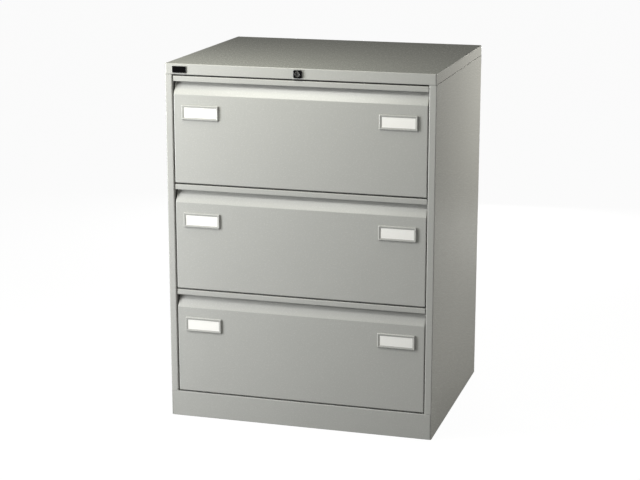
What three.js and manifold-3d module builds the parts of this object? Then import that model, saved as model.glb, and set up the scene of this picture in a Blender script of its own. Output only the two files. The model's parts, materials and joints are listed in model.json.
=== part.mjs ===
// Three-drawer lateral filing cabinet in folded sheet steel.
// Millimetres, +Z up. The origin is on the floor under the middle of the cabinet, and the drawers open
// towards -Y. Inside the cabinet group, y is the distance back from the plane of the drawer fronts.

import * as THREE from 'three';
import { mergeVertices } from 'three/addons/utils/BufferGeometryUtils.js';
import Module from 'manifold-3d';

const wasm = await Module();
wasm.setup();

// Whole cabinet
const WIDTH = 762;
const DEPTH = 622;
const HEIGHT = 1016;
const CAP_HEIGHT = 30;
const PLINTH_HEIGHT = 73;
const STILE_WIDTH = 20.5;
const SHADOW_GAP = 4; // dark line above and below each drawer front
const SIDE_GAP = 3; // dark line on each side of it
const DRAWERS = ['top', 'middle', 'bottom'];

// Sheet steel and its fits
const SHEET = 1;
const FOLD = 1; // inside radius of a fold
const FIT = 0.3; // between pieces that are fixed together
const RUNNING = 0.4; // between the runners' sliding members

// Side panels, each folded into a hollow post at the front and the back
const POST_DEPTH = 42;
const POST_LIP = 10;
const FRONT_CORNER = 2; // inside radius of the front post's folds
const SIDE_FLANGE = 5;
const FOOT_FLANGE = 20;

// Plinth, base and back
const PLINTH_SEAM = 0.6;
const PLINTH_LEDGE = 40;
const PLINTH_FOOT = 30;
const PLINTH_END = 20;
const BASE_LAP = 15; // of the base under the plinth's ledge
const BASE_FLANGE = 20;
const BACK_FLANGE = 15;
const BACK_RAISE = 10;

// Cap
const CAP_CORNER = 5;
const CAP_EDGE = 2;
const CAP_RETURN = 5;
const CAP_SHELF = 50; // carries the lock's bars

// Drawer front
const STRIP_HEIGHT = 14.8;
const HANDLE_HEIGHT = 51; // from the strip's top edge to the flat front
const RECESS_DEPTH = 23;
const RECESS_WALL = 8; // upright wall at the top of the recess's slope, behind the strip
const RECESS_RADIUS = 5;
const FLAT_EDGE = 3; // inside radius where the flat front turns into the recess
const RETURN_PAST = 2; // front's folded returns behind the recess
const HEM_GAP = 1.5;
const HEM_RISE = 6;
const LINER_FLANGE = 10;
const LINER_EDGE = 3; // the liner's distance from the front's edges

// Drawer box
const TRAY_RISE = 12; // tray's underside above the front's lower edge
const TRAY_HEIGHT = 250;
const TRAY_BACK_SPACE = 30;
const EDGE_GAP = 1.3; // inside the hem along the tray's top edges
const EDGE_DROP = 8;
const BACK_WALL_DROP = 6; // drawer back below the tray's top edges
const BACK_WALL_FLANGE = 15;
const RAIL_WIDTH = 12;
const RAIL_HEIGHT = 25;

// Telescopic runners
const RUNNER_RISE = 120; // runner's middle above the front's lower edge
const RUNNER_HEIGHT = 46;
const RUNNER_WIDTH = 22.4;
const RUNNER_SHEET = 1.5;
const RUNNER_SETBACK = 30;
const RUNNER_TAIL = 2; // between the cabinet member and the back panel's flange
const RACE_LIP = 5.5;
const CROWN_HEIGHT = 28;
const MIDDLE_SHORT = 15; // middle member's rear end before the cabinet member's
const DRAWER_SHORT = 16; // drawer member's rear end before the cabinet member's

// Label holders
const LABEL_INSET = 78; // centre from the front's side edge
const LABEL_DROP = 99.5; // centre below the front's top edge
const HOLDER_WIDTH = 109;
const HOLDER_HEIGHT = 44;
const HOLDER_PROUD = 6;
const HOLDER_BEVEL = 4;
const HOLDER_CORNER = 1; // round the front face, inside the bevel
const HOLDER_BACK = 2.2;
const WINDOW_WIDTH = 92.5;
const WINDOW_HEIGHT = 28;
const CARD_LAP = 2; // card's edge behind the window's rim
const CARD_THICKNESS = 0.6;

// Lock
const LOCK_RISE = 15; // centre above the cap's lower edge
const LOCK_WIDTH = 24;
const LOCK_FACE = 22;
const LOCK_CORNER = 3;
const LOCK_BEVEL = 1;
const LOCK_PROUD = 5;
const LOCK_BODY = 19;
const BARREL = 15;
const BARREL_PROUD = 0.6;
const BARREL_TAIL = 2; // barrel's length behind the housing
const KEYWAY_WIDTH = 2;
const KEYWAY_HEIGHT = 8;
const KEYWAY_DEPTH = 14;
const CRANK_RADIUS = 8;
const CRANK_BOSS = 6; // radius
const CRANK_PIN = 5;
const PIN_PLAY = 0.5;
const PIN_TAIL = 0.8; // pin's length past the bar that it drives
const BAR_SHEET = 2;
const BAR_GAP = 0.6; // between the crank, the transfer bar and the lock bar
const BAR_WIDTH = 10;
const BAR_EDGE = 3; // least metal round a slot
const BAR_INSET = 1.5; // lock bar outboard of the post's face
const LIFT_INSET = 10.5; // lock bar's pin inboard of the post's face
const FINGER_RISE = 185; // finger's underside above the front's lower edge
const FINGER_HEIGHT = 8;
const FINGER_REACH = 10; // inboard of the post's face
const BAR_TAIL = 12; // lock bar below its lowest finger
const CATCH_SHEET = 2;
const CATCH_HEIGHT = 12;
const CATCH_LEG = 25;
const CATCH_LIFT = 2; // catch's underside above a finger at rest
const CATCH_GAP = 1; // behind the finger
const CATCH_CLEAR = 2.5; // catch's end short of the post's face

// Badge's place, a blank plate
const BADGE_INSET = 43; // centre from the cap's left end
const BADGE_DROP = 16;
const BADGE_WIDTH = 41;
const BADGE_HEIGHT = 18.5;
const BADGE_PROUD = 2;
const BADGE_CORNER = 1;
const BADGE_BEVEL = 0.5;

// Finish of the curves
const ARC_STEP = Math.PI / 8;
const CURVE_STEPS = 4;
const ROUND_SIDES = 24;
const FOLD_ROOM = 0.48; // largest share of a side that the fold at one end takes up
const PAST = 2; // a cutter's length past the face that it cuts

// Worked out from the sizes above
const halfWidth = WIDTH / 2;
const capBottom = HEIGHT - CAP_HEIGHT;
const carcassTop = capBottom - FIT;
const postFace = halfWidth - STILE_WIDTH;
const frontHalf = postFace - SIDE_GAP;
const drawerStack = capBottom - PLINTH_HEIGHT - SHADOW_GAP;
const drawerPitch = drawerStack / DRAWERS.length;
const frontHeight = drawerPitch - SHADOW_GAP;
const frontBox = RECESS_DEPTH + SHEET + RETURN_PAST;
const labelX = frontHalf - LABEL_INSET;
const flatTop = frontHeight - HANDLE_HEIGHT;
const linerFront = frontBox + FIT;
const trayFront = linerFront + SHEET + FIT;
const trayBack = DEPTH - SHEET - TRAY_BACK_SPACE;
const backWall = trayBack - BACK_WALL_FLANGE;
const trayTop = TRAY_RISE + TRAY_HEIGHT;
const runnerFace = postFace - FIT; // outer face of the cabinet member
const trayHalf = runnerFace - RUNNER_WIDTH - FIT;
const runnerEnd = DEPTH - BACK_FLANGE - RUNNER_TAIL;
const lockHeight = capBottom + LOCK_RISE;
const lockBarFront = POST_DEPTH + FIT;
const transferFront = lockBarFront - BAR_GAP - BAR_SHEET;
const crankFront = transferFront - BAR_GAP - BAR_SHEET;
const barrelEnd = crankFront - FIT;
const shelfTop = capBottom + SHEET;
const barBottom = shelfTop + FIT;
const lockStroke = CRANK_RADIUS * Math.SQRT2; // over a quarter turn
const crankReach = CRANK_RADIUS * Math.SQRT1_2;
const slotHalf = CRANK_PIN / 2 + PIN_PLAY;
const liftX = postFace - LIFT_INSET;
const liftZ = barBottom + BAR_EDGE + slotHalf;

// Finishes
const greyPaint = { color: 0xc9c7c1, roughness: 0.45, metalness: 0 };
const zincPlate = { color: 0xb9bcbe, roughness: 0.35, metalness: 1 };
const blackPlastic = { color: 0x161616, roughness: 0.4, metalness: 0 };
const darkSteel = { color: 0x4a4a4c, roughness: 0.35, metalness: 1 };
const whiteCard = { color: 0xf2f1ec, roughness: 0.8, metalness: 0 };

// Joins and cuts

function toSolid(geometry) {
  const bare = geometry.clone();
  bare.deleteAttribute('normal');
  bare.deleteAttribute('uv');
  const merged = mergeVertices(bare);
  return new wasm.Manifold(new wasm.Mesh({
    numProp: 3,
    vertProperties: new Float32Array(merged.attributes.position.array),
    triVerts: new Uint32Array(merged.index.array),
  }));
}

function toGeometry(solid) {
  const mesh = solid.getMesh();
  const geometry = new THREE.BufferGeometry();
  geometry.setAttribute('position', new THREE.BufferAttribute(mesh.vertProperties, mesh.numProp));
  geometry.setIndex(new THREE.BufferAttribute(mesh.triVerts, 1));
  geometry.computeVertexNormals();
  return geometry;
}

function join(first, ...others) {
  return toGeometry(others.reduce((solid, other) => solid.add(toSolid(other)), toSolid(first)));
}

function cut(first, ...cutters) {
  return toGeometry(cutters.reduce((solid, cutter) => solid.subtract(toSolid(cutter)), toSolid(first)));
}

function overlap(first, second) {
  return toGeometry(toSolid(first).intersect(toSolid(second)));
}

// Basic shapes

// Every corner is put exactly at its stated place, so that flush faces of joined shapes lie in one plane.
function box(...spans) {
  const block = new THREE.BoxGeometry(1, 1, 1);
  const corners = block.attributes.position;
  for (let i = 0; i < corners.count; i += 1) {
    const at = [corners.getX(i), corners.getY(i), corners.getZ(i)];
    corners.setXYZ(i, ...spans.map(([low, high], axis) => (at[axis] < 0 ? low : high)));
  }
  return block;
}

// Rod along y.
function rod(diameter, x, z, [y0, y1]) {
  const cylinder = new THREE.CylinderGeometry(diameter / 2, diameter / 2, y1 - y0, ROUND_SIDES);
  return cylinder.translate(x, (y0 + y1) / 2, z);
}

function roundedRectangle(width, height, radius) {
  const x = width / 2 - radius;
  const y = height / 2 - radius;
  const shape = new THREE.Shape();
  shape.absarc(x, y, radius, 0, Math.PI / 2);
  shape.absarc(-x, y, radius, Math.PI / 2, Math.PI);
  shape.absarc(-x, -y, radius, Math.PI, Math.PI * 1.5);
  shape.absarc(x, -y, radius, Math.PI * 1.5, Math.PI * 2);
  return shape;
}

// Slot with round ends between two points.
function slot(start, end, radius) {
  const along = Math.atan2(end.y - start.y, end.x - start.x);
  const path = new THREE.Path();
  path.absarc(end.x, end.y, radius, along - Math.PI / 2, along + Math.PI / 2);
  path.absarc(start.x, start.y, radius, along + Math.PI / 2, along + Math.PI * 1.5);
  path.closePath();
  return path;
}

// Section drawn in x and y, carried up in z.
function extrudeUp(shape, [z0, z1]) {
  const settings = { depth: 1, bevelEnabled: false, curveSegments: CURVE_STEPS };
  const prism = new THREE.ExtrudeGeometry(shape, settings);
  const corners = prism.attributes.position;
  for (let i = 0; i < corners.count; i += 1) {
    corners.setZ(i, corners.getZ(i) > 0 ? z1 : z0);
  }
  return prism;
}

// Section drawn in y and z, carried across in x.
function extrudeAcross(shape, span) {
  const turn = new THREE.Matrix4().makeBasis(
    new THREE.Vector3(0, 1, 0), new THREE.Vector3(0, 0, 1), new THREE.Vector3(1, 0, 0));
  return extrudeUp(shape, span).applyMatrix4(turn);
}

// Section drawn in x and z, carried back in y.
function extrudeBack(shape, [y0, y1]) {
  return extrudeUp(shape, [-y1, -y0]).rotateX(Math.PI / 2);
}

// Section drawn in x and y with its edges rounded or bevelled, its lower bevel below z = 0.
function extrudeBevelled(shape, height, bevel, bevelSegments) {
  return new THREE.ExtrudeGeometry(shape, {
    depth: height,
    bevelSize: bevel,
    bevelOffset: -bevel,
    bevelThickness: bevel,
    bevelSegments,
    curveSegments: CURVE_STEPS,
  });
}

// Moulding with a straight bevel round its front face, seen along y and standing off the front plane.
function bevelledPlate({ width, height, corner, bevel, proud }, x, z) {
  const outline = roundedRectangle(width, height, corner + bevel);
  const plate = extrudeBevelled(outline, proud, bevel, 1);
  plate.rotateX(Math.PI / 2).translate(x, bevel - FIT, z);
  const reach = WIDTH;
  const kept = box([x - reach, x + reach], [-FIT - proud, -FIT], [z - reach, z + reach]);
  return overlap(plate, kept);
}

// The two faces of a folded sheet. Each corner is a point on the sheet's outer line, with the fold's inside
// radius where it isn't the usual one. The sheet lies on the left of the line, or on the right of it where
// the thickness is negative.
function foldedFaces(corners, thickness) {
  const points = corners.map(([a, b]) => new THREE.Vector2(a, b));
  const last = points.length - 1;
  const side = Math.sign(thickness);
  const left = (v) => new THREE.Vector2(-v.y, v.x);
  const step = (i) => points[i + 1].clone().sub(points[i]);
  const face = [];
  const back = [];
  const addEnd = (point, direction) => {
    face.push(point);
    back.push(point.clone().addScaledVector(left(direction), thickness));
  };
  addEnd(points[0], step(0).normalize());
  for (let i = 1; i < last; i += 1) {
    const before = step(i - 1);
    const after = step(i);
    const room = FOLD_ROOM * Math.min(before.length(), after.length());
    before.normalize();
    after.normalize();
    const turn = Math.atan2(before.cross(after), before.dot(after));
    const bend = Math.sign(turn);
    const inward = bend === side;
    const half = Math.tan(Math.abs(turn) / 2);
    const wanted = (corners[i][2] ?? FOLD) + (inward ? Math.abs(thickness) : 0);
    const radius = Math.min(wanted, room / half);
    const backRadius = Math.max(radius + (inward ? -1 : 1) * Math.abs(thickness), 0);
    const toCentre = left(before).multiplyScalar(bend);
    const arcStart = points[i].clone().addScaledVector(before, -radius * half);
    const centre = arcStart.addScaledVector(toCentre, radius);
    const steps = Math.ceil(Math.abs(turn) / ARC_STEP);
    for (let k = 0; k <= steps; k += 1) {
      const spoke = toCentre.clone().negate().rotateAround(new THREE.Vector2(), turn * k / steps);
      face.push(centre.clone().addScaledVector(spoke, radius));
      back.push(centre.clone().addScaledVector(spoke, backRadius));
    }
  }
  addEnd(points[last], step(last - 1).normalize());
  return { face, back };
}

function foldedSheet(corners, thickness) {
  const { face, back } = foldedFaces(corners, thickness);
  return new THREE.Shape([...face, ...back.reverse()]);
}

// Carcass

// Right-hand side: a wall folded into a post at each end, with a flange under the cap and a foot.
function sidePanel() {
  const outline = foldedSheet([
    [postFace + POST_LIP, POST_DEPTH],
    [postFace, POST_DEPTH],
    [postFace, 0, FRONT_CORNER],
    [halfWidth, 0, FRONT_CORNER],
    [halfWidth, DEPTH],
    [postFace, DEPTH],
    [postFace, DEPTH - POST_DEPTH],
    [postFace + POST_LIP, DEPTH - POST_DEPTH],
  ], SHEET);
  const midSheet = SHEET / 2;
  const wall = extrudeUp(outline, [midSheet, carcassTop]);
  const midWall = halfWidth - midSheet;
  const frontFold = FRONT_CORNER + SHEET;
  const capFlange = box(
    [halfWidth - SHEET - SIDE_FLANGE, midWall],
    [frontFold, DEPTH - frontFold],
    [carcassTop - SHEET - midSheet, carcassTop - midSheet]);
  const foot = box(
    [halfWidth - FOOT_FLANGE, midWall], [PLINTH_FOOT + FIT, DEPTH - POST_DEPTH - frontFold], [0, SHEET]);
  const plinthSpace = box(
    [postFace - PAST, halfWidth - frontFold], [-PAST, POST_DEPTH + PAST], [-PAST, PLINTH_HEIGHT + FIT]);
  return join(cut(wall, plinthSpace), capFlange, foot);
}

function plinthPanel() {
  const half = halfWidth - FRONT_CORNER - SHEET - PLINTH_SEAM;
  const fold = FOLD + SHEET;
  const face = extrudeAcross(foldedSheet([
    [PLINTH_LEDGE, PLINTH_HEIGHT],
    [0, PLINTH_HEIGHT],
    [0, 0],
    [PLINTH_FOOT, 0],
  ], SHEET), [-half, half]);
  const endSpan = [[SHEET / 2, PLINTH_END], [fold + SHEET, PLINTH_HEIGHT - fold - SHEET]];
  const outer = half - SHEET / 2;
  const inner = outer - SHEET;
  return join(face, box([inner, outer], ...endSpan), box([-outer, -inner], ...endSpan));
}

function basePanel() {
  const half = halfWidth - SHEET - FIT;
  const top = PLINTH_HEIGHT - SHEET - FIT;
  const floor = extrudeBack(foldedSheet([
    [-half, top - BASE_FLANGE],
    [-half, top],
    [half, top],
    [half, top - BASE_FLANGE],
  ], -SHEET), [PLINTH_LEDGE - BASE_LAP, DEPTH - SHEET - FIT]);
  const inner = postFace - 2 * FIT - SHEET;
  const corner = [[DEPTH - POST_DEPTH - FIT, DEPTH], [top - BASE_FLANGE - PAST, top + PAST]];
  return cut(floor, box([inner, halfWidth], ...corner), box([-halfWidth, -inner], ...corner));
}

function backPanel() {
  const half = postFace - FIT;
  return extrudeUp(foldedSheet([
    [-half, DEPTH - BACK_FLANGE],
    [-half, DEPTH],
    [half, DEPTH],
    [half, DEPTH - BACK_FLANGE],
  ], -SHEET), [BACK_RAISE, carcassTop]);
}

// Cap: a pan with a rounded upper edge, a return along the foot of its skirt, and a wide shelf at the front.
function topPanel() {
  const middle = DEPTH / 2;
  const cap = extrudeBevelled(roundedRectangle(WIDTH, DEPTH, CAP_CORNER), CAP_HEIGHT, CAP_EDGE, CURVE_STEPS);
  cap.translate(0, middle, capBottom - CAP_EDGE);
  const kept = box([-WIDTH, WIDTH], [-DEPTH, 2 * DEPTH], [capBottom, HEIGHT]);
  const hollow = extrudeUp(
    roundedRectangle(WIDTH - 2 * SHEET, DEPTH - 2 * SHEET, CAP_CORNER - SHEET), [shelfTop, HEIGHT - SHEET]);
  hollow.translate(0, middle, 0);
  const mouthHalf = halfWidth - SHEET - CAP_RETURN;
  const mouthHeights = [capBottom - PAST, shelfTop + PAST];
  const mouth = box([-mouthHalf, mouthHalf], [CAP_SHELF, DEPTH - SHEET - CAP_RETURN], mouthHeights);
  const barNotch = box(
    [postFace + BAR_INSET - FIT, mouthHalf], [lockBarFront - FIT, CAP_SHELF + PAST], mouthHeights);
  const lockHole = rod(LOCK_BODY + 2 * FIT, 0, lockHeight, [-PAST, SHEET + PAST]);
  return cut(overlap(cap, kept), hollow, mouth, barNotch, lockHole);
}

function badgePlate() {
  return bevelledPlate({
    width: BADGE_WIDTH,
    height: BADGE_HEIGHT,
    corner: BADGE_CORNER,
    bevel: BADGE_BEVEL,
    proud: BADGE_PROUD,
  }, BADGE_INSET - halfWidth, HEIGHT - BADGE_DROP);
}

// Lock: turning the barrel swings the crank's pin across, the pin slides the transfer bar, and the bar's
// sloping slot lifts the lock bar, whose fingers then stand in front of the drawers' catches.

function lockHousing() {
  const face = bevelledPlate({
    width: LOCK_WIDTH,
    height: LOCK_FACE,
    corner: LOCK_CORNER,
    bevel: LOCK_BEVEL,
    proud: LOCK_PROUD,
  }, 0, lockHeight);
  const body = rod(LOCK_BODY, 0, lockHeight, [-LOCK_PROUD / 2, barrelEnd - BARREL_TAIL]);
  const bore = rod(BARREL + 2 * FIT, 0, lockHeight, [-LOCK_PROUD - PAST, barrelEnd]);
  return cut(join(face, body), bore);
}

function lockBarrel() {
  const front = -LOCK_PROUD - FIT - BARREL_PROUD;
  const barrel = rod(BARREL, 0, lockHeight, [front, barrelEnd]);
  const keyway = box(
    [-KEYWAY_WIDTH / 2, KEYWAY_WIDTH / 2],
    [front - PAST, front + KEYWAY_DEPTH],
    [lockHeight - KEYWAY_HEIGHT / 2, lockHeight + KEYWAY_HEIGHT / 2]);
  return cut(barrel, keyway);
}

function lockCam() {
  const axis = new THREE.Vector2(0, lockHeight);
  const pin = new THREE.Vector2(crankReach, lockHeight - crankReach);
  const crank = [crankFront, crankFront + BAR_SHEET];
  const arm = new THREE.Shape(slot(axis, pin, CRANK_BOSS).getPoints(ROUND_SIDES / 2));
  const pinEnds = [crankFront + BAR_SHEET / 2, transferFront + BAR_SHEET + BAR_GAP / 2];
  return join(extrudeBack(arm, crank), rod(CRANK_PIN, pin.x, pin.y, pinEnds));
}

function transferBar() {
  const strokeTop = liftZ + lockStroke;
  const crankTop = lockHeight - crankReach;
  const left = crankReach - slotHalf - BAR_EDGE;
  const headLeft = liftX - slotHalf - 2 * BAR_EDGE;
  const headRight = liftX + lockStroke + slotHalf + BAR_EDGE;
  const strapTop = crankTop + slotHalf + BAR_EDGE;
  const headTop = strokeTop + slotHalf + BAR_EDGE;
  const bar = new THREE.Shape();
  bar.moveTo(left, barBottom);
  bar.lineTo(headRight, barBottom);
  bar.lineTo(headRight, headTop);
  bar.lineTo(headLeft, headTop);
  bar.lineTo(headLeft, strapTop);
  bar.lineTo(left, strapTop);
  bar.closePath();
  const crankLow = new THREE.Vector2(crankReach, lockHeight - CRANK_RADIUS);
  const crankHigh = new THREE.Vector2(crankReach, crankTop);
  const liftLow = new THREE.Vector2(liftX, liftZ);
  const liftHigh = new THREE.Vector2(liftX + lockStroke, strokeTop);
  bar.holes.push(slot(crankLow, crankHigh, slotHalf), slot(liftLow, liftHigh, slotHalf));
  return extrudeBack(bar, [transferFront, transferFront + BAR_SHEET]);
}

function drawerBase(index) {
  return PLINTH_HEIGHT + SHADOW_GAP + (DRAWERS.length - 1 - index) * drawerPitch;
}

function lockBar() {
  const inner = postFace + BAR_INSET;
  const outer = inner + BAR_WIDTH;
  const fingerTip = postFace - FINGER_REACH;
  const headLeft = liftX - slotHalf - BAR_EDGE;
  const headTop = liftZ + slotHalf + BAR_EDGE;
  const fingerFeet = DRAWERS.map((name, index) => drawerBase(index) + FINGER_RISE);
  const foot = Math.min(...fingerFeet) - BAR_TAIL;
  const outline = new THREE.Shape();
  outline.moveTo(outer, foot);
  outline.lineTo(outer, headTop);
  outline.lineTo(headLeft, headTop);
  outline.lineTo(headLeft, barBottom);
  outline.lineTo(inner, barBottom);
  for (const fingerFoot of fingerFeet) {
    outline.lineTo(inner, fingerFoot + FINGER_HEIGHT);
    outline.lineTo(fingerTip, fingerFoot + FINGER_HEIGHT);
    outline.lineTo(fingerTip, fingerFoot);
    outline.lineTo(inner, fingerFoot);
  }
  outline.lineTo(inner, foot);
  const bar = extrudeBack(outline, [lockBarFront, lockBarFront + BAR_SHEET]);
  const pin = rod(CRANK_PIN, liftX, liftZ, [transferFront - PIN_TAIL, lockBarFront + BAR_SHEET / 2]);
  return join(bar, pin);
}

// Drawers, with z from the lower edge of the drawer's own front

function drawerFront() {
  const top = frontHeight - SHEET;
  const stripFoot = frontHeight - STRIP_HEIGHT + SHEET;
  const outerLine = [
    [frontBox, 0],
    [0, 0],
    [0, flatTop, FLAT_EDGE],
    [RECESS_DEPTH, top - RECESS_WALL, RECESS_RADIUS],
    [RECESS_DEPTH, top],
  ];
  const strip = [
    [SHEET, top],
    [SHEET, stripFoot, HEM_GAP / 2],
    [SHEET + HEM_GAP, stripFoot, HEM_GAP / 2],
    [SHEET + HEM_GAP, stripFoot + HEM_RISE],
  ];
  const skin = extrudeAcross(foldedSheet([...outerLine, ...strip], -SHEET), [-frontHalf, frontHalf]);
  const midSheet = SHEET / 2;
  const endBack = frontBox - midSheet;
  const endTop = top - SHEET;
  const endLine = outerLine.map(([y, z, radius]) => [Math.min(y, endBack), Math.min(z, endTop), radius]);
  const end = new THREE.Shape([...foldedFaces(endLine, -midSheet).back, new THREE.Vector2(endBack, endTop)]);
  const outer = frontHalf - midSheet;
  const inner = outer - SHEET;
  return join(skin, extrudeAcross(end, [inner, outer]), extrudeAcross(end, [-outer, -inner]));
}

// Pan that closes the back of the front. Its side flanges stop below the recess.
function frontLiner() {
  const half = frontHalf - 2 * SHEET - FIT;
  const back = linerFront + SHEET;
  const panel = extrudeUp(foldedSheet([
    [-half, linerFront - LINER_FLANGE],
    [-half, back],
    [half, back],
    [half, linerFront - LINER_FLANGE],
  ], -SHEET), [LINER_EDGE, frontHeight - LINER_EDGE]);
  const inner = half - FOLD - 2 * SHEET;
  const corner = [[linerFront - LINER_FLANGE - PAST, back + PAST], [flatTop - LINER_EDGE, frontHeight]];
  return cut(panel, box([inner, frontHalf], ...corner), box([-frontHalf, -inner], ...corner));
}

// Floor and sides in one sheet, with the top edges folded over outwards.
function drawerTray() {
  const hem = trayHalf + EDGE_GAP;
  const edge = trayTop - SHEET;
  const radius = EDGE_GAP / 2;
  return extrudeBack(foldedSheet([
    [-hem, edge - EDGE_DROP],
    [-hem, edge, radius],
    [-trayHalf, edge, radius],
    [-trayHalf, TRAY_RISE],
    [trayHalf, TRAY_RISE],
    [trayHalf, edge, radius],
    [hem, edge, radius],
    [hem, edge - EDGE_DROP],
  ], SHEET), [trayFront, trayBack]);
}

// Wall across the tray, with its flanges turned to the rear.
function drawerBack() {
  const half = trayHalf - SHEET - FIT;
  return extrudeUp(foldedSheet([
    [-half, trayBack],
    [-half, backWall],
    [half, backWall],
    [half, trayBack],
  ], SHEET), [TRAY_RISE + SHEET + FOLD + FIT, trayTop - BACK_WALL_DROP]);
}

function centreRail() {
  const half = RAIL_WIDTH / 2;
  const foot = trayTop - RAIL_HEIGHT;
  return extrudeBack(foldedSheet([
    [-half, trayTop],
    [-half, foot],
    [half, foot],
    [half, trayTop],
  ], SHEET), [trayFront, backWall - FIT]);
}

function labelHolder(x) {
  const z = frontHeight - LABEL_DROP;
  const frame = bevelledPlate({
    width: HOLDER_WIDTH,
    height: HOLDER_HEIGHT,
    corner: HOLDER_CORNER,
    bevel: HOLDER_BEVEL,
    proud: HOLDER_PROUD,
  }, x, z);
  const slotBack = -FIT - HOLDER_BACK;
  const slotFront = slotBack - CARD_THICKNESS - 2 * FIT;
  const cardHalf = WINDOW_WIDTH / 2 + CARD_LAP + FIT;
  const cardFoot = z - WINDOW_HEIGHT / 2 - CARD_LAP - FIT;
  const cardSlot = box([x - cardHalf, x + cardHalf], [slotFront, slotBack], [cardFoot, z + HOLDER_HEIGHT]);
  const window = box(
    [x - WINDOW_WIDTH / 2, x + WINDOW_WIDTH / 2],
    [-HOLDER_PROUD - PAST, slotBack],
    [z - WINDOW_HEIGHT / 2, z + WINDOW_HEIGHT / 2]);
  return cut(frame, cardSlot, window);
}

function labelCard(x) {
  const z = frontHeight - LABEL_DROP;
  const half = WINDOW_WIDTH / 2 + CARD_LAP;
  const tall = WINDOW_HEIGHT / 2 + CARD_LAP;
  const back = -2 * FIT - HOLDER_BACK;
  return box([x - half, x + half], [back - CARD_THICKNESS, back], [z - tall, z + tall]);
}

function lockCatch() {
  const inner = trayHalf + FIT;
  const foot = FINGER_RISE + FINGER_HEIGHT + CATCH_LIFT;
  const front = lockBarFront + BAR_SHEET + CATCH_GAP;
  return extrudeUp(foldedSheet([
    [inner, front + CATCH_LEG],
    [inner, front],
    [postFace - CATCH_CLEAR, front],
  ], CATCH_SHEET), [foot, foot + CATCH_HEIGHT]);
}

// Right-hand runner members, each held inside the next by its lips. The sections lie in x and z, with the
// middle of the runner's height at zero.

function lippedChannel(webFace, depth, height, lip) {
  const half = height / 2;
  return foldedSheet([
    [webFace - depth, half - lip],
    [webFace - depth, half],
    [webFace, half],
    [webFace, -half],
    [webFace - depth, -half],
    [webFace - depth, lip - half],
  ], -RUNNER_SHEET);
}

const layer = RUNNER_SHEET + RUNNING;
const middleHeight = RUNNER_HEIGHT - 2 * layer;
const brimHeight = middleHeight - 2 * layer;

function cabinetRunner() {
  const depth = 5 * layer - RUNNING;
  const section = lippedChannel(runnerFace, depth, RUNNER_HEIGHT, RACE_LIP);
  return extrudeBack(section, [RUNNER_SETBACK, runnerEnd]);
}

function middleRunner() {
  const depth = 3 * layer - RUNNING;
  const section = lippedChannel(runnerFace - layer, depth, middleHeight, RACE_LIP);
  return extrudeBack(section, [RUNNER_SETBACK, runnerEnd - MIDDLE_SHORT]);
}

// Hat section: its brim runs inside the middle member and its crown is fixed to the tray.
function drawerRunner() {
  const brimFace = runnerFace - 2 * layer;
  const brimBack = brimFace - RUNNER_SHEET;
  const crownFace = trayHalf + FIT;
  const crown = CROWN_HEIGHT / 2;
  const section = foldedSheet([
    [brimBack, brimHeight / 2],
    [brimBack, crown],
    [crownFace, crown],
    [crownFace, -crown],
    [brimBack, -crown],
    [brimBack, -brimHeight / 2],
  ], RUNNER_SHEET);
  return extrudeBack(section, [RUNNER_SETBACK, runnerEnd - DRAWER_SHORT]);
}

// Assembly

const filingCabinet = new THREE.Group();
const fromFront = new THREE.Group();
fromFront.position.y = -DEPTH / 2;
filingCabinet.add(fromFront);

function addPart(group, name, geometry, finish) {
  const part = new THREE.Mesh(geometry, new THREE.MeshStandardMaterial(finish));
  part.name = name;
  group.add(part);
  return part;
}

// The left-hand piece is the right-hand one mirrored.
function addPair(group, name, geometry, finish) {
  addPart(group, `${name}_right`, geometry, finish);
  addPart(group, `${name}_left`, geometry, finish).scale.x = -1;
}

addPair(fromFront, 'side_panel', sidePanel(), greyPaint);
addPart(fromFront, 'back_panel', backPanel(), greyPaint);
addPart(fromFront, 'top_panel', topPanel(), greyPaint);
addPart(fromFront, 'base_panel', basePanel(), greyPaint);
addPart(fromFront, 'plinth_panel', plinthPanel(), greyPaint);
addPart(fromFront, 'badge_plate', badgePlate(), blackPlastic);
addPart(fromFront, 'lock_housing', lockHousing(), blackPlastic);
addPart(fromFront, 'lock_barrel', lockBarrel(), darkSteel);
addPart(fromFront, 'lock_cam', lockCam(), zincPlate);
addPart(fromFront, 'lock_transfer_bar', transferBar(), zincPlate);
addPart(fromFront, 'lock_bar', lockBar(), zincPlate);

DRAWERS.forEach((place, index) => {
  const drawer = new THREE.Group();
  drawer.position.z = drawerBase(index);
  fromFront.add(drawer);
  addPart(drawer, `${place}_front`, drawerFront(), greyPaint);
  addPart(drawer, `${place}_front_liner`, frontLiner(), greyPaint);
  addPart(drawer, `${place}_tray`, drawerTray(), greyPaint);
  addPart(drawer, `${place}_back`, drawerBack(), greyPaint);
  addPart(drawer, `${place}_centre_rail`, centreRail(), greyPaint);
  addPart(drawer, `${place}_lock_catch`, lockCatch(), zincPlate);
  addPair(drawer, `${place}_label_holder`, labelHolder(labelX), greyPaint);
  addPair(drawer, `${place}_label_card`, labelCard(labelX), whiteCard);

  const runners = new THREE.Group();
  runners.position.z = RUNNER_RISE;
  drawer.add(runners);
  addPair(runners, `${place}_cabinet_runner`, cabinetRunner(), zincPlate);
  addPair(runners, `${place}_middle_runner`, middleRunner(), zincPlate);
  addPair(runners, `${place}_drawer_runner`, drawerRunner(), zincPlate);
});

export default filingCabinet;
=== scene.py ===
import json
import math

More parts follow.
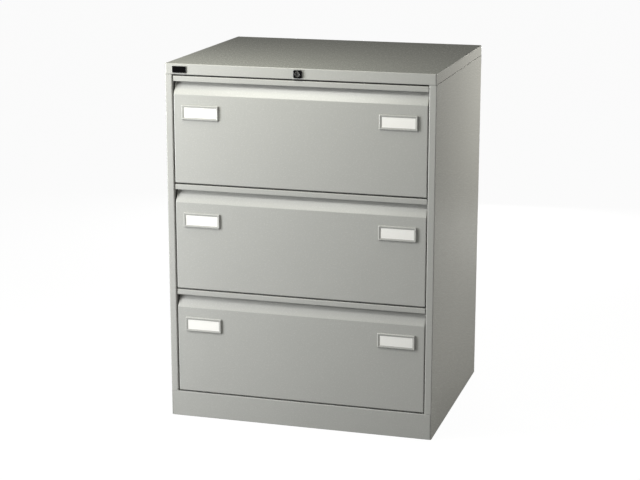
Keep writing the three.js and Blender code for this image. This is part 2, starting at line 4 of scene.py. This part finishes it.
import bmesh
import bpy
import numpy as np
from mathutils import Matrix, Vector


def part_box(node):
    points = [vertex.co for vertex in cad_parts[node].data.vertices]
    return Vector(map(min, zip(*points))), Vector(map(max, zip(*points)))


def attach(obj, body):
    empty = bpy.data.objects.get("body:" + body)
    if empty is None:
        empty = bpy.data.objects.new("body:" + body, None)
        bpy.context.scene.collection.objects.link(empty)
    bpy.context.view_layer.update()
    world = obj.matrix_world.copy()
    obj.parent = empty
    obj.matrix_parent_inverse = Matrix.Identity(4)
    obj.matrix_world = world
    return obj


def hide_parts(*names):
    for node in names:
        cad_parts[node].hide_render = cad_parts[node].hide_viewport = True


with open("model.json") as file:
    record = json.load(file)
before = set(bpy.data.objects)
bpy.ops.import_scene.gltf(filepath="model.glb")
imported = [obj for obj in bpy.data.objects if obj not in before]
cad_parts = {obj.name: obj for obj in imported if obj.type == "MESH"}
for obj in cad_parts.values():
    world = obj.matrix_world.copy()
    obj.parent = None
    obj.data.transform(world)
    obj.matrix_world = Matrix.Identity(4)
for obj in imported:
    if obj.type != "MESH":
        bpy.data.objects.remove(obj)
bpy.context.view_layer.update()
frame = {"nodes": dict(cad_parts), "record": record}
mm = 0.001
places = ("top", "middle", "bottom")
sides = ("left", "right")
scene = bpy.context.scene
print("frame loaded:", len(frame["nodes"]), "nodes")


def linear(hexText):
    # sRGB hex to linear RGBA, by the sRGB curve
    shade = np.array([int(hexText[i:i + 2], 16) for i in (0, 2, 4)]) / 255
    shade = np.where(shade <= 0.04045, shade / 12.92, ((shade + 0.055) / 1.055) ** 2.4)
    return (*shade.tolist(), 1.0)


def addNode(tree, kind, settings=None, links=None):
    # a node with its values, and the sockets that feed it
    node = tree.nodes.new(kind)
    for name, value in (settings or {}).items():
        if isinstance(name, int) or name in node.inputs:
            node.inputs[name].default_value = value
        else:
            setattr(node, name, value)
    for name, source in (links or {}).items():
        tree.links.new(source, node.inputs[name])
    return node


def startMaterial(name, settings):
    # a Principled surface with its constant values, and Object coordinates for its patterns
    material = bpy.data.materials.new(name)
    material.use_nodes = True
    tree = material.node_tree
    tree.nodes.clear()
    shader = addNode(tree, "ShaderNodeBsdfPrincipled", settings)
    addNode(tree, "ShaderNodeOutputMaterial", None, {"Surface": shader.outputs[0]})
    coords = addNode(tree, "ShaderNodeTexCoord").outputs["Object"]
    return material, tree, shader, coords


def wireFinish(tree, shader, look, mottle, shine, relief):
    # three patterns' values: one mixes the two colours, one spreads the roughness, one raises the surface
    tone = addNode(tree, "ShaderNodeMix",
                   {"data_type": "RGBA", 6: linear(look["colour"]), 7: linear(look["second"])}, {0: mottle})
    rough = addNode(tree, "ShaderNodeMapRange",
                    {"To Min": look["roughness"] - look["roughSpread"],
                     "To Max": look["roughness"] + look["roughSpread"]}, {"Value": shine})
    bump = addNode(tree, "ShaderNodeBump", {"Strength": look["strength"], "Distance": look["depth"]},
                   {"Height": relief})
    tree.links.new(tone.outputs[2], shader.inputs["Base Color"])
    tree.links.new(rough.outputs[0], shader.inputs["Roughness"])
    tree.links.new(bump.outputs[0], shader.inputs["Normal"])


def makePowderCoat():
    look = dict(colour="b6b6b2", second="b2b2ae", ior=1.5, roughness=0.27, roughSpread=0.02,
                peelPitch=3.2 * mm, peelDetail=2.0, depth=0.05 * mm, strength=0.05,
                cloudPitch=160 * mm, cloudDetail=3.0)
    # polyester powder, sprayed and baked on steel: an even satin grey whose highlights are broken up by the
    # orange peel of the molten powder; real peel is about 1.5 mm apart, drawn coarser to show
    material, tree, shader, coords = startMaterial("powder_coat_baked", {"IOR": look["ior"]})
    cloud = addNode(tree, "ShaderNodeTexNoise",
                    {"Scale": 1 / look["cloudPitch"], "Detail": look["cloudDetail"]}, {"Vector": coords})
    peel = addNode(tree, "ShaderNodeTexNoise",
                   {"Scale": 1 / look["peelPitch"], "Detail": look["peelDetail"]}, {"Vector": coords})
    wireFinish(tree, shader, look, cloud.outputs["Fac"], peel.outputs["Fac"], peel.outputs["Fac"])
    return material


def makeZincPlate():
    look = dict(colour="c3c6c8", second="a9adb0", roughness=0.3, roughSpread=0.12,
                linePitch=0.8 * mm, lineLength=60 * mm, lineDetail=2.0, depth=0.03 * mm, strength=0.3,
                cloudPitch=35 * mm, cloudDetail=4.0)
    # bright zinc on cold-rolled strip: a cool metal shine drawn out in fine lines along the rolling direction,
    # with duller clouds where the bath was uneven; real lines are finer, drawn coarser to show
    material, tree, shader, coords = startMaterial("zinc_plate_on_rolled_steel", {"Metallic": 1.0})
    stretch = addNode(tree, "ShaderNodeMapping",
                      {"Scale": (1 / look["linePitch"], 1 / look["lineLength"], 1 / look["linePitch"])},
                      {"Vector": coords})
    lines = addNode(tree, "ShaderNodeTexNoise", {"Scale": 1.0, "Detail": look["lineDetail"]},
                    {"Vector": stretch.outputs[0]})
    cloud = addNode(tree, "ShaderNodeTexNoise",
                    {"Scale": 1 / look["cloudPitch"], "Detail": look["cloudDetail"]}, {"Vector": coords})
    wireFinish(tree, shader, look, cloud.outputs["Fac"], cloud.outputs["Fac"], lines.outputs["Fac"])
    return material


def makeBlackMoulding():
    look = dict(colour="070708", second="0b0b0c", ior=1.53, roughness=0.17, roughSpread=0.04,
                grainPitch=0.6 * mm, grainDetail=2.0, depth=0.02 * mm, strength=0.4)
    # ABS moulded in a spark-textured tool: near black, with a low shine and a fine even grain
    material, tree, shader, coords = startMaterial("abs_moulded_black", {"IOR": look["ior"]})
    grain = addNode(tree, "ShaderNodeTexNoise",
                    {"Scale": 1 / look["grainPitch"], "Detail": look["grainDetail"]}, {"Vector": coords})
    wireFinish(tree, shader, look, grain.outputs["Fac"], grain.outputs["Fac"], grain.outputs["Fac"])
    return material


def makeTurnedSteel():
    look = dict(colour="94938f", second="6b6a68", roughness=0.36, roughSpread=0.1,
                ringPitch=3.14 * mm, ringWander=0.6, depth=0.02 * mm, strength=0.3)
    # black-nickel plate on a turned barrel: a dark metal with rings left by the tool round its axis; real rings
    # are a fraction of a millimetre apart, drawn coarser to show
    low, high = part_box("lock_barrel")
    centre = (low + high) / 2
    material, tree, shader, coords = startMaterial("black_nickel_on_turned_steel", {"Metallic": 1.0})
    centred = addNode(tree, "ShaderNodeMapping", {"Location": (-centre.x, 0.0, -centre.z)}, {"Vector": coords})
    rings = addNode(tree, "ShaderNodeTexWave",
                    {"wave_type": "RINGS", "rings_direction": "Y", "Distortion": look["ringWander"],
                     "Scale": math.pi / 10 / look["ringPitch"]},  # rings stand pi / 10 apart at scale 1
                    {"Vector": centred.outputs[0]})
    wireFinish(tree, shader, look, rings.outputs["Fac"], rings.outputs["Fac"], rings.outputs["Fac"])
    return material


def makeCard():
    look = dict(colour="fbfaf7", second="f5f3ee", ior=1.45, specular=0.3, roughness=0.9, roughSpread=0.06,
                fibrePitch=1.6 * mm, fibreDetail=5.0, depth=0.03 * mm, strength=0.3)
    # uncoated card, pressed and cut: matt white, faintly mottled by its fibres, drawn coarser than they are
    material, tree, shader, coords = startMaterial(
        "card_uncoated_white", {"IOR": look["ior"], "Specular IOR Level": look["specular"]})
    fibres = addNode(tree, "ShaderNodeTexNoise",
                     {"Scale": 1 / look["fibrePitch"], "Detail": look["fibreDetail"]}, {"Vector": coords})
    wireFinish(tree, shader, look, fibres.outputs["Fac"], fibres.outputs["Fac"], fibres.outputs["Fac"])
    return material


finishes = {"grey_paint": makePowderCoat(), "zinc_plate": makeZincPlate(), "black_plastic": makeBlackMoulding(),
            "dark_steel": makeTurnedSteel(), "white_card": makeCard()}
print("finishes made:", len(finishes))


def roundedLine(corners, steps):
    # a folded line: straight runs joined by arcs; a corner of radius r and turn t is cut back by r tan(t/2),
    # and its arc is the spoke from the arc's centre turned through t; gives the points and their left normals
    corners = np.array(corners, float)
    points, radii = corners[:, :2], corners[1:-1, 2]
    runs = np.diff(points, axis=0)
    runs /= np.linalg.norm(runs, axis=1)[:, None]
    left = np.stack([-runs[:, 1], runs[:, 0]], 1)
    before, after = runs[:-1], runs[1:]
    turn = np.arctan2(before[:, 0] * after[:, 1] - before[:, 1] * after[:, 0], (before * after).sum(1))
    bend = np.sign(turn)
    start = points[1:-1] - (radii * np.tan(np.abs(turn) / 2))[:, None] * before
    centre = start + (bend * radii)[:, None] * left[:-1]
    spoke = -bend[:, None] * left[:-1]
    across = np.stack([-spoke[:, 1], spoke[:, 0]], 1)
    angle = turn[:, None] * np.linspace(0, 1, steps + 1)
    swept = np.cos(angle)[..., None] * spoke[:, None] + np.sin(angle)[..., None] * across[:, None]
    arcs = centre[:, None] + radii[:, None, None] * swept
    normals = -bend[:, None, None] * swept
    line = np.concatenate([points[:1], arcs.reshape(-1, 2), points[-1:]])
    normal = np.concatenate([left[:1], normals.reshape(-1, 2), left[-1:]])
    return line, normal


def cornerLoops(halfWide, halfHigh, corner, steps=8):
    # rounded rectangles, one row each: a quarter arc about each corner's centre, joined by straight sides
    halfWide, halfHigh, corner = (np.atleast_1d(np.array(v, float))[:, None, None]
                                  for v in np.broadcast_arrays(halfWide, halfHigh, corner))
    angle = np.linspace(0, np.pi / 2, steps + 1) + np.arange(4)[:, None] * np.pi / 2
    signX, signY = np.array([1, -1, -1, 1])[:, None], np.array([1, 1, -1, -1])[:, None]
    x = signX * (halfWide - corner) + corner * np.cos(angle)
    y = signY * (halfHigh - corner) + corner * np.sin(angle)
    return np.stack([x.reshape(len(x), -1), y.reshape(len(y), -1)], -1)


def circleLoops(radii):
    # circles, one row each: rounded squares whose corners take up all of their sides
    return cornerLoops(radii, radii, radii)


def standUp(loops, depth, centre):
    # flat loops in mm set upright about a centre, each row at its own depth in metres
    return np.stack([loops[..., 0] * mm + centre.x,
                     np.broadcast_to(np.reshape(depth, (-1, 1)), loops.shape[:2]),
                     loops[..., 1] * mm + centre.z], -1)


def gridFaces(rows, columns, closed=False, ring=False):
    # quads between neighbouring rows and columns; closed joins the last column to the first, ring the rows
    index = np.arange(rows * columns).reshape(rows, columns)
    if closed:
        index = np.concatenate([index, index[:, :1]], 1)
    if ring:
        index = np.concatenate([index, index[:1]], 0)
    return np.stack([index[:-1, :-1], index[:-1, 1:], index[1:, 1:], index[1:, :-1]], -1)


def cappedFaces(rows, columns):
    # a tube of closed rows whose first and last rows are filled
    ring = np.arange(columns)
    return [*gridFaces(rows, columns, closed=True).reshape(-1, 4), ring, (rows - 1) * columns + ring]


def joinChunks(chunks):
    # several meshes as one list of points and faces
    points, faces, count = [], [], 0
    for chunkPoints, chunkFaces in chunks:
        points.append(chunkPoints.reshape(-1, 3))
        faces += [(np.asarray(face) + count).tolist() for face in chunkFaces]
        count += len(points[-1])
    return np.concatenate(points), faces


# how every mesh is finished: lengths in metres, angles in degrees
meshSet = dict(merge=1e-6, sliver=1e-7, cadMerge=2e-6, cadFlat=0.5, edgeFrom=40, edgeSteps=2, smoothTo=50,
               flatWeight=80)
bodyOf = {node: body for body, members in frame["record"]["behaviour"]["bodies"].items() for node in members}
replaced = set()  # CAD nodes that a new piece stands for


def applyModifiers(piece):
    # the modifiers' result becomes the piece's own mesh
    graph = bpy.context.evaluated_depsgraph_get()
    made = bpy.data.meshes.new_from_object(piece.evaluated_get(graph), depsgraph=graph)
    old = piece.data
    piece.modifiers.clear()
    piece.data = made
    made.name = piece.name
    bpy.data.meshes.remove(old)


def finishPiece(name, mesh, body, slotName, nodes, sheet=0.0, soften=0.0):
    # thickness and softened edges, then shading that stays flat on flat faces and smooth round folds
    piece = bpy.data.objects.new(name, mesh)
    scene.collection.objects.link(piece)
    if sheet:
        wall = piece.modifiers.new("sheet", "SOLIDIFY")
        wall.thickness, wall.offset, wall.use_even_offset = sheet, -1.0, True
    if soften:
        edge = piece.modifiers.new("edge", "BEVEL")
        edge.width, edge.segments, edge.limit_method = soften, meshSet["edgeSteps"], "ANGLE"
        edge.angle_limit = math.radians(meshSet["edgeFrom"])
    if sheet or soften:
        applyModifiers(piece)
    piece.data.polygons.foreach_set("use_smooth", np.ones(len(piece.data.polygons), bool))
    piece.data.set_sharp_from_angle(angle=math.radians(meshSet["smoothTo"]))
    flat = piece.modifiers.new("flat", "WEIGHTED_NORMAL")
    flat.keep_sharp, flat.weight = True, meshSet["flatWeight"]
    applyModifiers(piece)
    piece.data.materials.clear()
    piece.data.materials.append(finishes[slotName])
    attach(piece, body)
    if nodes:
        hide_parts(*nodes)
    replaced.update(nodes)


def makePiece(name, chunks, body, slotName, nodes=(), facing=None, sheet=0.0, soften=0.0):
    # a mesh from numpy points; an open sheet is turned to face the given way, a closed one outwards
    points, faces = joinChunks(chunks)
    mesh = bpy.data.meshes.new(name)
    mesh.from_pydata(points, [], faces)
    form = bmesh.new()
    form.from_mesh(mesh)
    bmesh.ops.remove_doubles(form, verts=form.verts, dist=meshSet["merge"])
    bmesh.ops.dissolve_degenerate(form, edges=form.edges, dist=meshSet["sliver"])
    bmesh.ops.recalc_face_normals(form, faces=form.faces)
    if facing:
        total = sum((f.normal * f.calc_area() for f in form.faces), Vector())
        if total.dot(Vector(facing)) < 0:
            bmesh.ops.reverse_faces(form, faces=form.faces)
    form.to_mesh(mesh)
    form.free()
    finishPiece(name, mesh, body, slotName, nodes, sheet, soften)


def refineNode(node, slotName, soften):
    # a copy of the node's own mesh, merged, with whole flat faces and softened cut edges
    mesh = frame["nodes"][node].data.copy()
    form = bmesh.new()
    form.from_mesh(mesh)
    bmesh.ops.remove_doubles(form, verts=form.verts, dist=meshSet["cadMerge"])
    bmesh.ops.dissolve_limit(form, angle_limit=math.radians(meshSet["cadFlat"]), verts=form.verts,
                             edges=form.edges)
    form.to_mesh(mesh)
    form.free()
    finishPiece(node + "_finished", mesh, bodyOf[node], slotName, (node,), soften=soften)


# the shapes below are in mm
frontShape = dict(sheet=1.0, endRoll=2.4, boxDepth=26.0, footFold=3.0, flatTop=248.0, flatEdge=4.0,
                  recessDepth=23.0, slopeTop=290.0, slopeFold=5.0, seam=293.0, stripTop=298.0,
                  stripFold=1.0, stripFoot=285.2, stripBack=1.0, hemGap=1.5, hemTop=291.2, arcSteps=10,
                  hang=1.0)  # the fronts hang a little to the right in their slides


def makeDrawerFront(place):
    # the skin's section is carried across the drawer; at each end it is rolled back: at angle a it stands
    # r sin a further out and r (1 - cos a) further in along its normal, then a side plate runs to the box's back
    s = frontShape
    low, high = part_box(place + "_front")
    half, roll = high.x / mm, s["endRoll"]
    skin, normal = roundedLine([(s["boxDepth"], 0, 0), (0, 0, s["footFold"]), (0, s["flatTop"], s["flatEdge"]),
                                (s["recessDepth"], s["slopeTop"], s["slopeFold"]),
                                (s["recessDepth"], s["seam"], 0)], s["arcSteps"])
    angle = np.linspace(0, np.pi / 2, s["arcSteps"] + 1)
    out, sink = roll * np.sin(angle), roll * (1 - np.cos(angle))
    x = np.concatenate([-(half - roll + out[::-1]), half - roll + out])
    sunk = skin[:, None] - normal[:, None] * np.concatenate([sink[::-1], sink])[None, :, None]
    plates = sunk[:, [0, -1]].copy()
    plates[..., 0] = s["boxDepth"]
    sunk = np.concatenate([plates[:, :1], sunk, plates[:, 1:]], 1)
    x = np.concatenate([x[:1], x, x[-1:]])
    pan = np.concatenate([np.broadcast_to(x, sunk.shape[:2])[..., None], sunk], -1)
    # the strip over the recess is a second section, folded back on itself along its lower edge
    strip, _ = roundedLine([(s["recessDepth"], s["seam"], 0), (s["recessDepth"], s["stripTop"], s["stripFold"]),
                            (s["stripBack"], s["stripTop"], s["stripFold"]),
                            (s["stripBack"], s["stripFoot"], s["hemGap"] / 2),
                            (s["stripBack"] + s["hemGap"], s["stripFoot"], s["hemGap"] / 2),
                            (s["stripBack"] + s["hemGap"], s["hemTop"], 0)], s["arcSteps"])
    ends = np.array([-half, -(half - roll), half - roll, half])
    across = (len(strip), len(ends))
    folded = np.concatenate([np.broadcast_to(ends[:, None], across + (1,)),
                             np.broadcast_to(strip[:, None], across + (2,))], -1)
    hung = np.array([s["hang"] * mm, low.y, low.z])
    makePiece(place + "_front_skin",
              [(grid * mm + hung, gridFaces(*grid.shape[:2]).reshape(-1, 4)) for grid in (pan, folded)],
              place + "_drawer", "grey_paint", (place + "_front",), facing=(0, -1, 0), sheet=s["sheet"] * mm)


labelShape = dict(foot=1.2, standing=2.0, rim=3.2, ridge=4.0, proud=4.6, edge=0.7,
                  lip=8.0, lipWide=8.25, lipFront=3.6, lipBack=3.3, lipFrontEdge=0.1, lipBackEdge=0.05,
                  groove=5.7, grooveEdge=0.2, pocket=2.2, cornerOut=4.0, cornerIn=1.0, arcSteps=6)


def makeLabelHolder(place, side):
    # rounded rectangles, one inside the next: the frame's section gives each one's inset and height, up the
    # bevel, over the ridge, down to the window's lip and out into the groove that keeps the card
    s = labelShape
    low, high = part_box(f"{place}_label_holder_{side}")
    centre, size = (low + high) / 2, (high - low) / mm
    line, _ = roundedLine([(s["foot"], 0, 0), (s["foot"], s["standing"], s["edge"]),
                           (s["rim"], s["proud"], s["edge"] / 2), (s["ridge"], s["proud"], s["edge"] / 2),
                           (s["lip"], s["lipFront"], s["lipFrontEdge"]),
                           (s["lip"], s["lipBack"], s["lipBackEdge"]),
                           (s["groove"], s["lipBack"], s["grooveEdge"]), (s["groove"], s["pocket"], 0)],
                          s["arcSteps"])
    inset, rise = line.T
    loops = cornerLoops(size.x / 2 - inset * s["lipWide"] / s["lip"], size.z / 2 - inset,
                        np.maximum(s["cornerOut"] - inset, s["cornerIn"]))
    grid = standUp(loops, high.y - rise * mm, centre)
    makePiece(f"{place}_label_frame_{side}", [(grid, cappedFaces(*grid.shape[:2]))], place + "_drawer",
              "grey_paint", (f"{place}_label_holder_{side}",))


cardShape = dict(corner=0.8)


def makeLabelCard(place, side):
    # two rounded rectangles, the card's face and its back
    low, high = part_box(f"{place}_label_card_{side}")
    centre, size = (low + high) / 2, (high - low) / mm
    depth = [low.y, high.y]
    loops = cornerLoops(size.x / 2, size.z / 2, [cardShape["corner"]] * len(depth))
    grid = standUp(loops, depth, centre)
    makePiece(f"{place}_card_{side}", [(grid, cappedFaces(*grid.shape[:2]))], place + "_drawer",
              "white_card", (f"{place}_label_card_{side}",))


capShape = dict(sheet=1.0, corner=5.0, cornerIn=0.1, edge=2.0, foot=2.0, flatFrom=60.0, lipReach=6.0,
                lockHole=9.8, lockHeight=15.0, holeSteps=48, patchHalf=20.0, arcSteps=8,
                shelfReach=50.0, shelfEdge=0.2, barRoom=0.3)


def makeCap():
    # rounded rectangles again: the section runs out over the top, down the skirt and back under it; one quad in
    # the front of the skirt is left open and filled round the lock's hole, a face from each side to its arc
    s = capShape
    steps, holeSteps = s["arcSteps"], s["holeSteps"]
    low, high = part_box("top_panel")
    half, tall = (high - low) / 2 / mm, (high.z - low.z) / mm
    line, _ = roundedLine([(s["flatFrom"], tall, 0), (0, tall, s["edge"]), (0, 0, s["foot"]),
                           (s["lipReach"], 0, 0)], steps)
    inset, rise = line.T
    loops = cornerLoops(half.x - inset, half.y - inset, np.maximum(s["corner"] - inset, s["cornerIn"]), steps)
    cut = 3 * (steps + 1)  # three corners come before the straight run along the front
    extra = np.repeat(loops[:, cut:cut + 1], 2, axis=1)
    extra[..., 0] = [-s["patchHalf"], s["patchHalf"]]
    loops = np.concatenate([loops[:, :cut], extra, loops[:, cut:]], 1)
    grid = np.concatenate([loops, np.broadcast_to(rise[:, None, None], loops.shape[:2] + (1,))], -1)
    rows, columns = grid.shape[:2]
    quads = gridFaces(rows, columns, closed=True)
    skirt = steps + 1  # the row of the skirt's upright face, after the edge's arc
    keep = np.ones(quads.shape[:2], bool)
    keep[skirt, cut] = False
    corners = quads[skirt, cut]
    angle = np.arange(holeSteps) * 2 * np.pi / holeSteps
    hole = np.stack([s["lockHole"] * np.cos(angle), np.full(holeSteps, -half.y),
                     s["lockHeight"] + s["lockHole"] * np.sin(angle)], -1)
    patch = grid.reshape(-1, 3)[corners]
    bearing = np.arctan2(patch[:, 2] - s["lockHeight"], patch[:, 0])
    around = np.argsort(bearing)
    near = np.round(bearing[around] / (2 * np.pi) * holeSteps).astype(int) % holeSteps
    fills = []
    for here, there in ((0, 1), (1, 2), (2, 3), (3, 0)):
        arc = (near[there] - np.arange((near[there] - near[here]) % holeSteps + 1)) % holeSteps
        fills.append([*corners[around[[here, there]]], *(rows * columns + arc)])
    points = np.concatenate([grid.reshape(-1, 3), hole])
    middle = np.array([0, (low.y + high.y) / 2, low.z])
    makePiece("cap_skin", [(points * mm + middle, [*quads[keep], np.arange(columns), *fills])], "carcass",
              "grey_paint", ("top_panel",), facing=(0, 0, 1), sheet=s["sheet"] * mm)


def makeCapShelf():
    # the shelf that carries the lock's bars: its outline, notched round the upright bar, and again one sheet up
    s = capShape
    low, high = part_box("top_panel")
    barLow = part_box("lock_bar")[0]
    left, right = low.x / mm + s["lipReach"], high.x / mm - s["lipReach"]
    front, back = low.y / mm + s["lipReach"], low.y / mm + s["shelfReach"]
    notchX, notchY = barLow.x / mm - s["barRoom"], barLow.y / mm - s["barRoom"]
    outline = np.array([(left, front), (right, front), (right, notchY), (notchX, notchY), (notchX, back),
                        (left, back)])
    levels = np.array([low.z / mm, low.z / mm + s["sheet"]])
    shelf = np.column_stack([np.tile(outline, (len(levels), 1)), np.repeat(levels, len(outline))]) * mm
    makePiece("cap_shelf", [(shelf, cappedFaces(len(levels), len(outline)))], "carcass", "grey_paint",
              soften=s["shelfEdge"] * mm)


lockShape = dict(roundOver=1.6, faceInset=3.0, corner=4.0, cornerIn=0.6, seat=0.3, bore=7.8, boreEdge=0.4,
                 stem=9.5, stemEnd=34.8, barrel=7.5, barrelEdge=0.4, rimWide=1.1, rimDeep=0.35,
                 keyWide=1.0, keyTall=4.0, keyEdge=0.3, keyDeep=14.0, arcSteps=6)


def makeLock():
    # rings round the lock's axis: circles out of the bore, rounded squares over the case's face, then circles
    # back along its stem; depths are from the cap's front
    s = lockShape
    low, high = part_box("lock_housing")
    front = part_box("top_panel")[0].y
    centre, size = (low + high) / 2, (high - low) / 2 / mm
    face, seat = (low.y - front) / mm, -s["seat"]
    line, _ = roundedLine([(s["faceInset"], face, 0), (0, face, s["roundOver"]), (0, seat, 0)], s["arcSteps"])
    inset, depth = line.T
    bore, edge = s["bore"], s["boreEdge"]
    loops = np.concatenate([circleLoops([bore, bore, bore + edge]),
                            cornerLoops(size.x - inset, size.z - inset,
                                        np.maximum(s["corner"] - inset, s["cornerIn"])),
                            circleLoops([s["stem"], s["stem"]])])
    depth = np.concatenate([[s["stemEnd"], face + edge, face], depth, [seat, s["stemEnd"]]])
    grid = standUp(loops, depth * mm + front, centre)
    makePiece("lock_case", [(grid, gridFaces(*grid.shape[:2], closed=True, ring=True).reshape(-1, 4))],
              "carcass", "black_plastic", ("lock_housing",))
    # the barrel: out from the keyway's floor, over a sunk face and a rim, and back along its side
    low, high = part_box("lock_barrel")
    tip, end = (low.y - front) / mm, (high.y - front) / mm
    radius, wide, tall, bevel = s["barrel"], s["keyWide"], s["keyTall"], s["keyEdge"]
    rim, sunk = radius - s["rimWide"], tip + s["rimDeep"]
    loops = np.concatenate([cornerLoops([wide, wide, wide + bevel], [tall, tall, tall + bevel],
                                        [wide, wide, wide + bevel]),
                            circleLoops([rim - s["rimDeep"], rim, radius - s["barrelEdge"], radius, radius])])
    depth = np.array([tip + s["keyDeep"], sunk + bevel, sunk, sunk, tip, tip, tip + s["barrelEdge"], end])
    grid = standUp(loops, depth * mm + front, centre)
    makePiece("lock_barrel_turned", [(grid, cappedFaces(*grid.shape[:2]))], "lock_plug", "dark_steel",
              ("lock_barrel",))


badgeShape = dict(corner=1.2, cornerIn=0.3, roundOver=0.5, rimWide=1.4, rimDrop=0.4, rimEdge=0.2, arcSteps=5)


def makeBadge():
    # a blank moulded plate: rounded rectangles up its side, over a narrow rim and down to a flat field
    s = badgeShape
    low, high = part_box("badge_plate")
    centre, size = (low + high) / 2, (high - low) / mm
    line, _ = roundedLine([(0, 0, 0), (0, size.y, s["roundOver"]), (s["rimWide"], size.y, s["rimEdge"]),
                           (s["rimWide"] + s["rimDrop"], size.y - s["rimDrop"], s["rimEdge"]),
                           (s["rimWide"] + 2 * s["rimDrop"], size.y - s["rimDrop"], 0)], s["arcSteps"])
    inset, rise = line.T
    loops = cornerLoops(size.x / 2 - inset, size.z / 2 - inset, np.maximum(s["corner"] - inset, s["cornerIn"]))
    grid = standUp(loops, high.y - rise * mm, centre)
    makePiece("badge_blank", [(grid, cappedFaces(*grid.shape[:2]))], "carcass", "black_plastic",
              ("badge_plate",))


for place in places:
    makeDrawerFront(place)
    for side in sides:
        makeLabelHolder(place, side)
        makeLabelCard(place, side)
makeCap()
makeCapShelf()
makeLock()
makeBadge()
print("skins, labels, cap, lock and badge made")

# folded sheets and bars that keep the CAD shape, with their cut edges softened
edgeBreak = dict(grey_paint=0.25 * mm, zinc_plate=0.2 * mm)
for part in frame["record"]["subparts"]:
    if part["node"] not in replaced:
        refineNode(part["node"], part["material_slot"], edgeBreak[part["material_slot"]])
print("folded sheets, runners and bars refined")


def lookAlong(direction):
    # the turn that points a camera or a lamp along a direction, upright
    return direction.to_track_quat("-Z", "Y").to_euler()


# place and reach in metres, lens and sensor in mm, angles in degrees
cameraSet = dict(lens=94.1, sensor=36.0, reach=200.0, place=(1.2957, -4.5733, 1.6456), turn=-16.14, tilt=13.9)
turn, tilt = math.radians(cameraSet["turn"]), math.radians(cameraSet["tilt"])
lens = bpy.data.cameras.new("photograph_view")
lens.lens, lens.sensor_width, lens.clip_end = cameraSet["lens"], cameraSet["sensor"], cameraSet["reach"]
camera = bpy.data.objects.new("photograph_view", lens)
camera.location = cameraSet["place"]
camera.rotation_euler = lookAlong(Vector((math.sin(turn) * math.cos(tilt), math.cos(turn) * math.cos(tilt),
                                          -math.sin(tilt))))
scene.collection.objects.link(camera)
scene.camera = camera

# softboxes: places, aims and sizes in metres, power in watts
lamps = [
    dict(name="key", place=(-1.8, -1.3, 0.7), aim=(0.0, -0.3, 0.5), size=(0.7, 0.7), power=36.3, tint="fcfeff"),
    dict(name="left", place=(-1.6, -1.2, 1.6), aim=(0.0, -0.3, 0.6), size=(0.7, 0.7), power=22.4, tint="ffffff"),
    dict(name="high", place=(-0.4, -1.3, 2.0), aim=(0.0, -0.3, 0.8), size=(0.6, 0.5), power=9.2, tint="fefff8"),
    dict(name="over", place=(-0.3, -0.55, 1.6), aim=(-0.3, -0.3, 0.7), size=(0.8, 0.2), power=3.4, tint="feffee"),
    dict(name="side", place=(1.1, 0.6, 1.1), aim=(0.38, 0.1, 0.8), size=(0.3, 0.3), power=6.9, tint="fffdf6"),
    dict(name="right", place=(2.2, 0.4, 1.2), aim=(0.38, 0.1, 0.8), size=(0.6, 0.6), power=9.8, tint="fffdf6"),
    dict(name="fill", place=(2.4, -1.4, 1.2), aim=(0.38, -0.3, 0.6), size=(0.7, 0.7), power=10.0, tint="ffffff"),
    dict(name="back", place=(-0.3, 2.6, 0.65), aim=(0.0, 0.3, 0.5), size=(1.2, 0.6), power=57.1, tint="ffffff"),
]
for lamp in lamps:
    light = bpy.data.lights.new(lamp["name"], "AREA")
    light.shape, light.energy = "RECTANGLE", lamp["power"]
    light.color = linear(lamp["tint"])[:3]
    light.size, light.size_y = lamp["size"]
    holder = bpy.data.objects.new(lamp["name"] + "_softbox", light)
    holder.location = lamp["place"]
    holder.rotation_euler = lookAlong(Vector(lamp["aim"]) - Vector(lamp["place"]))
    holder.visible_camera = False
    scene.collection.objects.link(holder)

# the room is white to the camera and dim to the object; the floor's paper glows a little to the camera
stageSet = dict(white="ffffff", backdrop=1.0, dim=0.02, reach=40.0, paper="8a8a88", glow=0.8, shine=1.2)
world = bpy.data.worlds.new("studio")
scene.world = world
world.use_nodes = True
tree = world.node_tree
tree.nodes.clear()
path = addNode(tree, "ShaderNodeLightPath")
level = addNode(tree, "ShaderNodeMapRange", {"To Min": stageSet["dim"], "To Max": stageSet["backdrop"]},
                {"Value": path.outputs["Is Camera Ray"]})
sky = addNode(tree, "ShaderNodeBackground", {"Color": linear(stageSet["white"])}, {"Strength": level.outputs[0]})
addNode(tree, "ShaderNodeOutputWorld", None, {"Surface": sky.outputs[0]})

corners = np.array([(-1, -1, 0), (1, -1, 0), (1, 1, 0), (-1, 1, 0)]) * stageSet["reach"]
floorMesh = bpy.data.meshes.new("studio_floor")
floorMesh.from_pydata(corners, [], [(0, 1, 2, 3)])
floor = bpy.data.objects.new("studio_floor", floorMesh)
scene.collection.objects.link(floor)
paper = bpy.data.materials.new("studio_paper")
paper.use_nodes = True
tree = paper.node_tree
tree.nodes.clear()
path = addNode(tree, "ShaderNodeLightPath")
matt = addNode(tree, "ShaderNodeBsdfDiffuse", {"Color": linear(stageSet["paper"])})
glow = addNode(tree, "ShaderNodeEmission", {"Color": linear(stageSet["white"]), "Strength": stageSet["shine"]})
share = addNode(tree, "ShaderNodeMath", {"operation": "MULTIPLY", 1: stageSet["glow"]},
                {0: path.outputs["Is Camera Ray"]})
mixed = addNode(tree, "ShaderNodeMixShader", None, {0: share.outputs[0], 1: matt.outputs[0], 2: glow.outputs[0]})
addNode(tree, "ShaderNodeOutputMaterial", None, {"Surface": mixed.outputs[0]})
floorMesh.materials.append(paper)
scene.view_settings.view_transform = "Standard"
print("camera, lamps and floor placed")
